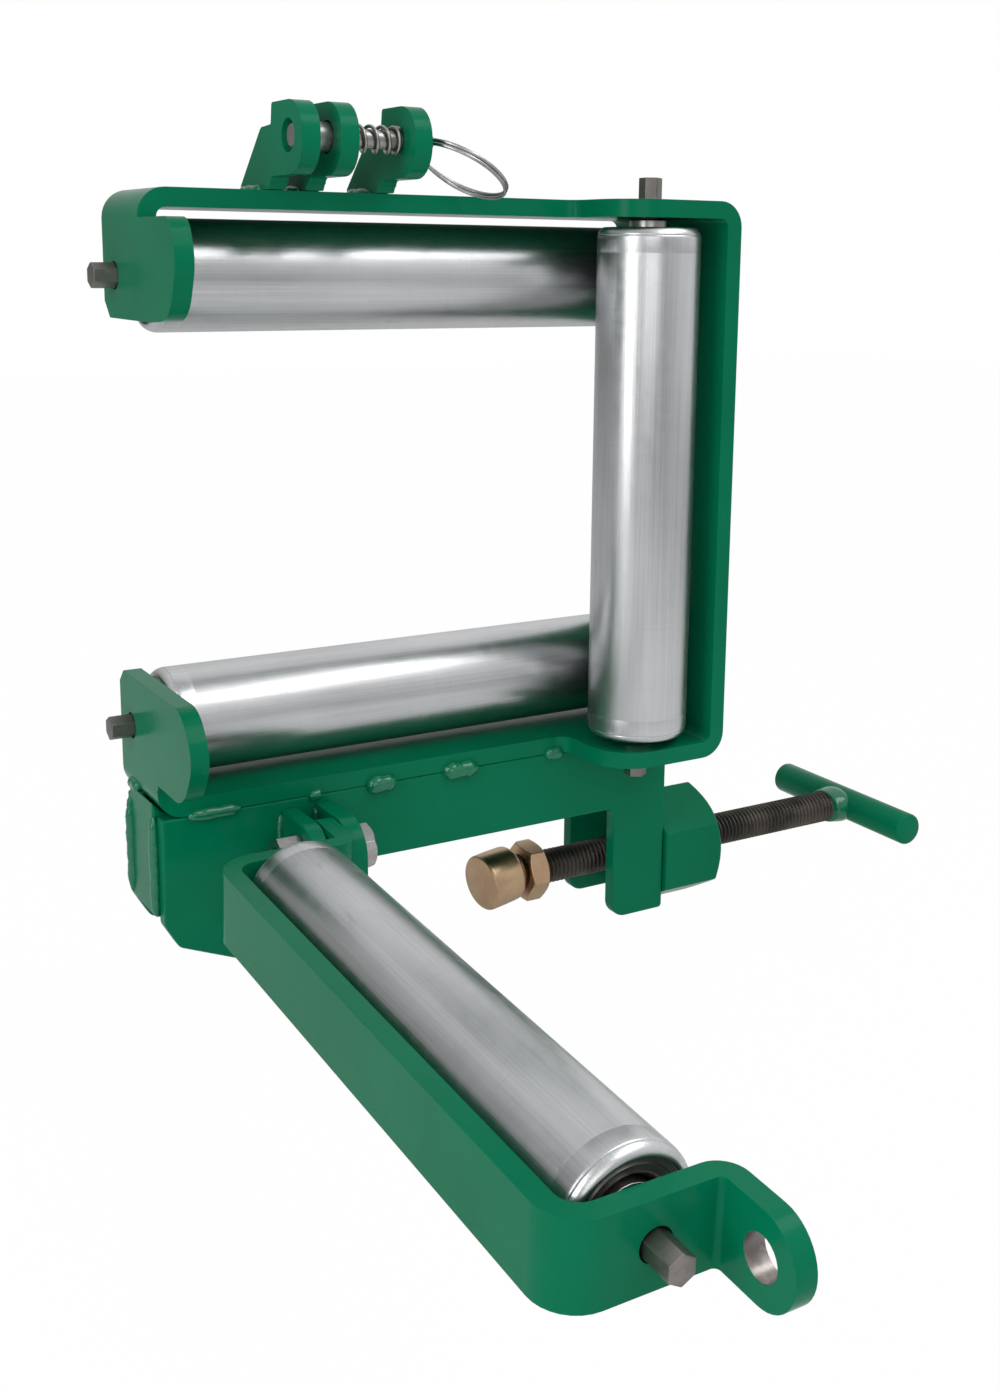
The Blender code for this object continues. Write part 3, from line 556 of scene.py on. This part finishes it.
def clampPad():  # turned about its own tilted axis, which runs through the screw's ball
    nod, yaw = math.radians(padSet["nod"]), math.radians(padSet["yaw"])
    axis = Vector((math.cos(nod) * math.cos(yaw), math.cos(nod) * math.sin(yaw), math.sin(nod)))
    screw = middleOf("clamp_screw")
    ball = Vector((spanAlong("clamp_screw", Vector((1, 0, 0)))[0] + screwSet["ball"] / 1000, screw.y, screw.z))
    outline = [(0, 0), (13.0, 0), (13.7, 0.25), (14.15, 0.75), (14.3, 1.5), (14.3, 9.0), (14.1, 16.6), (13.9, 17.6),
               (13.2, 18.6), (12.2, 19.05), (11.3, 19.2), (11.0, 19.5), (10.9, 20.4), (10.8, 20.9), (10.3, 21.35),
               (8.1, 21.4), (7.55, 21.0), (7.5, 20.2), (7.7, 19.6), (7.7, 4.5), (0, 4.5)]
    outline = [(r / 1000, (z - padSet["faceAhead"]) / 1000) for r, z in outline]
    pad = turned(outline, ball, axis, 64)
    settle(pad, "clamp_pad_turned", yellowZinc, bodyOf["clamp_pad"], 30)
    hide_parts("clamp_pad")


teeSet = {  # the welded collar: radius and distance from the bar's axis, then how it widens towards the bar
    "collar": [(0, -0.0150), (0.0087, -0.0150), (0.0090, -0.0146), (0.0092, -0.0128), (0.0095, -0.0108),
               (0.0098, -0.0090), (0.0099, -0.0070), (0.0096, -0.0050), (0.0086, -0.0034), (0.0060, -0.0020),
               (0, -0.0020)],
    "spread": [(0.0120, 1.10), (0.0100, 1.12), (0.0080, 1.12)]}


def teeHandle():
    middle = middleOf("t_handle")
    low, high = spanAlong("t_handle", Vector((0, 1, 0)))
    radius = (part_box("t_handle")[1][2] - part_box("t_handle")[0][2]) / 2
    half = (high - low) / 2
    outline = [(0, half), (radius - 0.0016, half), (radius - 0.0008, half - 0.0003),
               (radius - 0.0002, half - 0.0009), (radius, half - 0.0017)]
    outline += [(r, -z) for r, z in reversed(outline)]
    bar = turned(outline, middle, (0, 1, 0), 48)
    settle(bar, "t_handle_bar", paint, bodyOf["t_handle"], 40)
    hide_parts("t_handle")
    screw = middleOf("clamp_screw")
    weld = turned(teeSet["collar"], (middle.x, screw.y, screw.z), (1, 0, 0), 48)
    only(weld)
    bpy.ops.object.transform_apply(location=True, rotation=True, scale=True)
    for near, wide in teeSet["spread"]:  # the weld spreads along the bar
        for vertex in weld.data.vertices:
            vertex.select = vertex.co.x > middle.x - near
        bpy.ops.object.mode_set(mode="EDIT")
        bpy.ops.transform.resize(value=(1, wide, 1), center_override=(middle.x, screw.y, screw.z))
        leave()
    settle(weld, "t_handle_weld", weldPaint, bodyOf["t_handle"], 50)


clampScrew()
clampPad()
teeHandle()
softened("jam_nut", "jam_nut_chamfered", yellowZinc, 0.0004, 35, 2)
print("clamp screw cut")


# hinge bolt, latch pin, spring and pull ring

for node, width in (("hinge_bolt", 0.0004), ("hinge_nut", 0.0004), ("latch_pin", 0.0003)):
    softened(node, node + "_plated", brightZinc, width, 30, 2)

springSet = {"wire": 1.6, "turns": 5.6, "points": 40, "pulled": 0.37}
ringSet = {"wire": 1.6}


def latchSpring():
    low, high = (Vector(corner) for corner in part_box("latch_spring"))
    wire, turns = springSet["wire"] / 1000, springSet["turns"]
    centre = (low + high) / 2
    radius = (high.z - low.z - wire) / 2
    count = int(turns * springSet["points"])
    closed = 1.05 / turns
    points = []
    for step in range(count + 1):
        share = step / count
        climb = min(max((share - closed) / (1 - 2 * closed), 0), 1)
        rest = min(share / closed, 1) + max((share - 1 + closed) / closed, 0)
        turn = math.tau * turns * share
        rise = high.x - low.x - wire * 3.1
        points.append((low.x + wire * 0.52 + rest * wire * 1.03 + climb * rise,
                       centre.y + radius * math.sin(turn), centre.z - radius * math.cos(turn)))
    spring = sweptWire("latch_spring_wound", points, wire / 2, springWire, "frame", sides=4)
    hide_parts("latch_spring")
    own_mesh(spring)


def pullRing():
    node = nodes["pull_ring"]
    centre = middleOf("pull_ring")
    hang = Matrix.Rotation(math.radians(30), 3, "Y") @ Matrix.Rotation(math.radians(-4), 3, "X")
    reach = [(hang.transposed() @ (vertex.co - centre)) for vertex in node.data.vertices]
    outer = max(spot.x for spot in reach)
    radius = outer - max(spot.z for spot in reach)
    wire = ringSet["wire"] / 1000
    points = []
    for step in range(2 * 64 - 3):
        turn = math.tau * step / 64 + 2.2
        lift = wire * 0.53 * math.sin(min(max((step - 56) / 16, -0.5), 0.5) * math.pi)
        points.append(centre + hang @ Vector((radius * math.cos(turn), radius * math.sin(turn), lift)))
    ring = sweptWire("pull_ring_split", points, wire / 2, brightZinc, bodyOf["pull_ring"], sides=3)
    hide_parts("pull_ring")


latchSpring()
pullRing()
print("latch fitted")


# weld beads

weldSet = {"step": 0.0011, "ripple": 0.06, "wave": 0.75, "cap": 0.0026, "capCorner": 0.0030, "ear": 0.0024,
           "lug": 0.0024, "earFrom": 0.052}


def weldBead(name, start, stop, size):
    start, stop = Vector(start), Vector(stop)
    count = max(int((stop - start).length / weldSet["step"]), 4)
    points, sizes = [], []
    phase = random.uniform(0, 6)
    for step in range(count + 1):
        share = step / count
        taper = math.sqrt(max(1 - abs(2 * share - 1) ** 5, 0.06))  # rounded ends
        lump = math.sin(step * weldSet["wave"] + phase) + 0.6 * math.sin(step * weldSet["wave"] * 0.37)
        sizes.append(taper * (1 + weldSet["ripple"] * lump + random.uniform(-0.02, 0.02)))
        points.append(start.lerp(stop, share) + Vector([random.uniform(-1, 1) * size * 0.05 for _ in range(3)]))
    return sweptWire(name, points, size, weldPaint, "frame", sizes=sizes, sides=5)


strapLow = Vector(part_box("main_strap")[0])
plateLow, plateHigh = (Vector(corner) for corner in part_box("clamp_plate_front"))
capLow, capHigh = (Vector(corner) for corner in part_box("jaw_end_cap"))
beadSet = [  # along the beam, in mm from the strap's left end: start, stop, thickness
    (13, 38, 2.8), (70, 76, 2.6), (99, 114, 4.2), (139, 158, 4.2), (196, 206, 3.2), (232, 246, 3.2)]
rearHigh = Vector(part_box("clamp_plate_rear")[1])
for side, y in (("front", plateLow.y + 0.0002), ("rear", rearHigh.y - 0.0002)):
    for count, (start, stop, size) in enumerate(beadSet, 1):
        weldBead("beam_weld_%s_%d" % (side, count), (strapLow.x + start / 1000, y, plateHigh.z + 0.0001),
                 (strapLow.x + stop / 1000, y, plateHigh.z + 0.0001), size / 1000)
for count, y in enumerate((capLow.y, capHigh.y)):
    x = capLow.x + 0.0004
    weldBead("cap_weld_%d" % (count + 1), (x, y, capLow.z + 0.001), (x, y, capHigh.z - 0.006), weldSet["cap"])
weldBead("cap_weld_3", (capLow.x + 0.0015, capHigh.y - 0.012, capHigh.z + 0.0012),
         (capLow.x + 0.0015, capHigh.y, capHigh.z + 0.0012), weldSet["capCorner"])
for number in (1, 2, 3):
    low, high = (Vector(corner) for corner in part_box("latch_ear_%d" % number))
    for count, x in enumerate((low.x, high.x)):
        weldBead("ear_weld_%d_%d" % (number, count + 1), (x, strapLow.y + weldSet["earFrom"], low.z),
                 (x, high.y - 0.001, low.z), weldSet["ear"])
for side in ("left", "right"):
    low, high = (Vector(corner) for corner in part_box("hinge_lug_" + side))
    for count, x in enumerate((low.x, high.x)):
        weldBead("lug_weld_%s_%d" % (side, count + 1), (x, high.y, low.z + 0.002),
                 (x, high.y, high.z - 0.002), weldSet["lug"])
print("welds laid")
